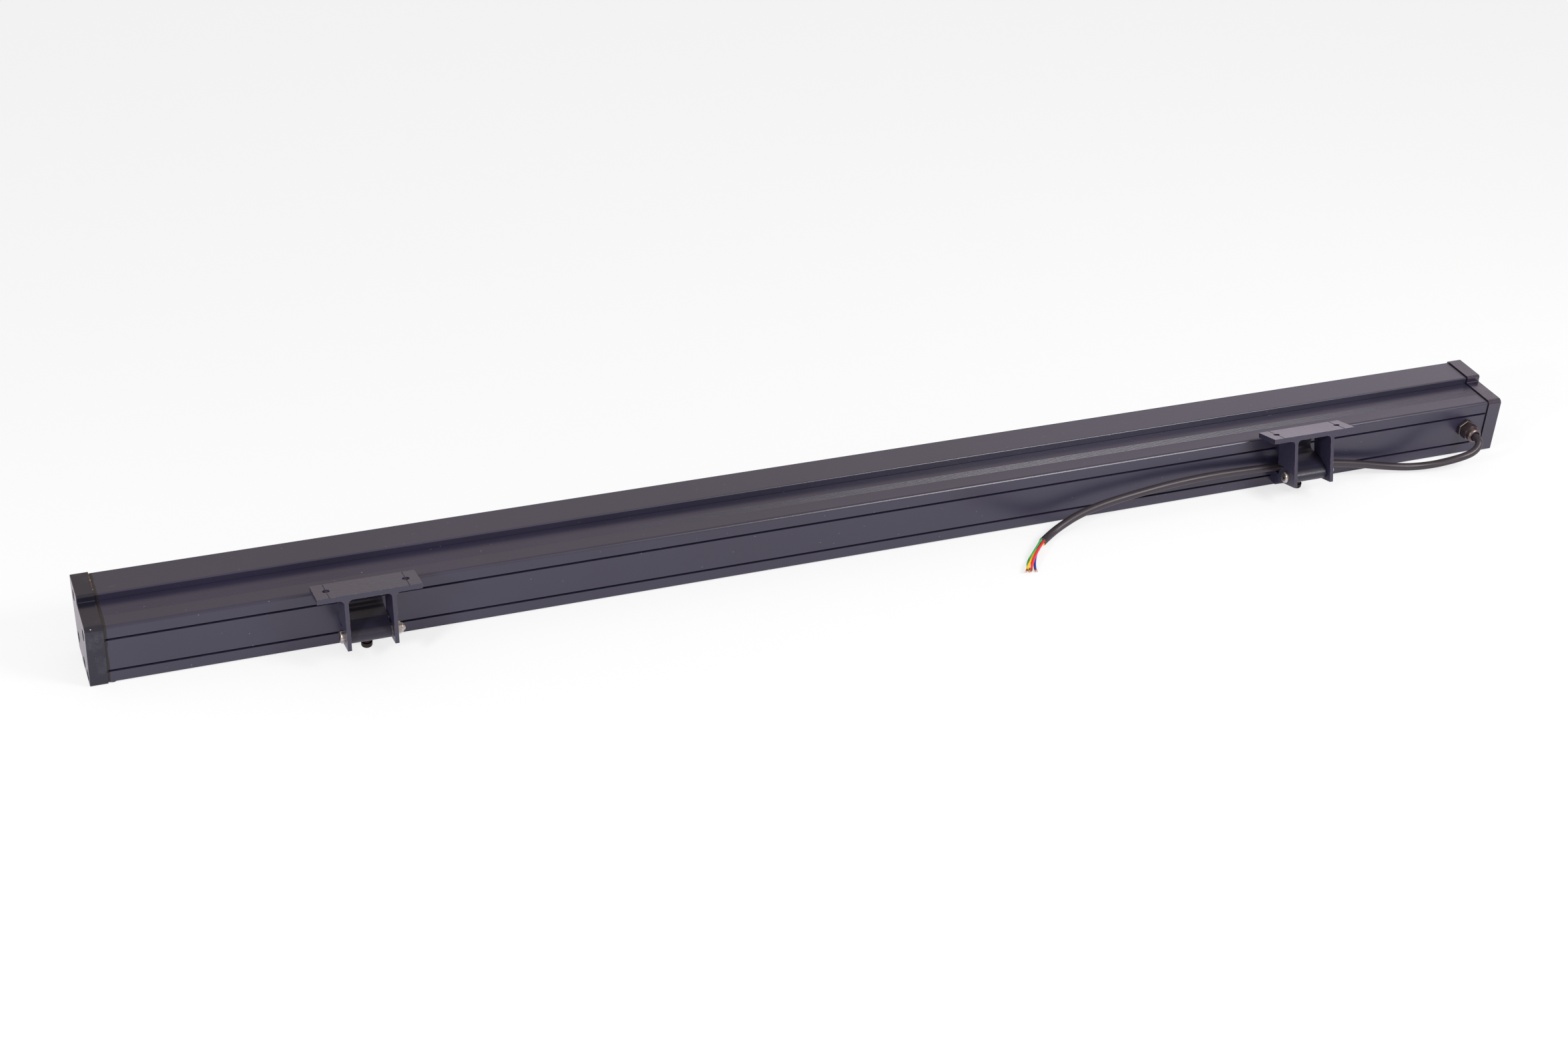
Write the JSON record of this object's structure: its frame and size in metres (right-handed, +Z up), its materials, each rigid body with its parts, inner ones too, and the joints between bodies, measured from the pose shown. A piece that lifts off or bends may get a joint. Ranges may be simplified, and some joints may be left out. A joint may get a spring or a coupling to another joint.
{
  "type": "outdoor wall washer light",
  "caption": "Long dark-grey aluminium wall washer light with glass front, end caps, cable gland, bare-ended supply cord and tilting surface brackets clamped in its back slots.",
  "frame": {"origin": "middle of the outline in plan, brackets included and cord left out, on the surface the light lies on (under the end caps' lips)", "axes": "+X along the light towards the cable gland end, +Y from the slotted panel towards the glass, +Z up from the tail to the visor"},
  "size_m": [1, 0.1098, 0.0536],
  "materials": {
    "powder_coat": "fine-textured dark grey powder coat",
    "cap_paint": "dark grey paint, dusty, chipped at the rims",
    "steel": "bright zinc-plated steel",
    "dark_steel": "brown-black oxidised steel",
    "black_rubber": "matte",
    "silicone": "translucent white silicone",
    "clear_glass": "polished",
    "white_board": "white solder mask",
    "led_yellow": "phosphor",
    "clear_lens": "clear moulded plastic",
    "green_board": "green solder mask",
    "black_plastic": "matte",
    "grey_plastic": "matte",
    "gland_nickel": "dark nickel plate, worn to brass at the edges",
    "cord_jacket": "black-brown PVC",
    "copper": "bare copper",
    "core_green": "PVC",
    "core_yellow": "PVC",
    "core_red": "PVC",
    "core_blue": "PVC"
  },
  "bodies": {
    "light": {"adaptor_left": "powder_coat", "adaptor_right": "powder_coat", "cap_screw_left_1": "steel", "cap_screw_left_2": "steel", "cap_screw_left_3": "steel", "cap_screw_left_4": "steel", "cap_screw_left_5": "steel", "cap_screw_right_1": "steel", "cap_screw_right_2": "steel", "cap_screw_right_3": "steel", "cap_screw_right_4": "steel", "cap_screw_right_5": "steel", "clamp_screw_left": "dark_steel", "clamp_screw_right": "dark_steel", "cord_tail": "cord_jacket", "driver_board": "green_board", "end_cap_left": "cap_paint", "end_cap_right": "cap_paint", "front_glass": "clear_glass", "gasket_left": "black_rubber", "gasket_right": "black_rubber", "gland_body": "gland_nickel", "gland_grommet": "black_rubber", "gland_locknut": "gland_nickel", "gland_nut": "gland_nickel", "gland_seal": "black_rubber", "glass_seal": "silicone", "housing": "powder_coat", "jaw_left": "powder_coat", "jaw_right": "powder_coat", "led_board": "white_board", "led_chips": "led_yellow", "lens_strip": "clear_lens", "supply_cord": "cord_jacket", "terminal_block": "grey_plastic", "transformer": "black_plastic", "wire_blue": "core_blue", "wire_green": "core_green", "wire_red": "core_red", "wire_tip_blue": "copper", "wire_tip_green": "copper", "wire_tip_red": "copper", "wire_tip_yellow": "copper", "wire_yellow": "core_yellow"},
    "left_bracket": {"bracket_left": "powder_coat", "pivot_bolt_left": "steel", "pivot_nut_left": "steel", "pivot_washer_left_a": "steel", "pivot_washer_left_b": "steel"},
    "right_bracket": {"bracket_right": "powder_coat", "pivot_bolt_right": "steel", "pivot_nut_right": "steel", "pivot_washer_right_a": "steel", "pivot_washer_right_b": "steel"}
  },
  "joints": [
    {"name": "left_bracket_tilt", "type": "hinge", "parent": "light", "child": "left_bracket", "pos_m": [-0.3369, -0.03245, 0.0207], "axis": [1, 0, 0], "range_deg": [-17, 110]},
    {"name": "right_bracket_tilt", "type": "hinge", "parent": "light", "child": "right_bracket", "pos_m": [0.3248, -0.03245, 0.0207], "axis": [1, 0, 0], "range_deg": [-10, 115]}
  ]
}
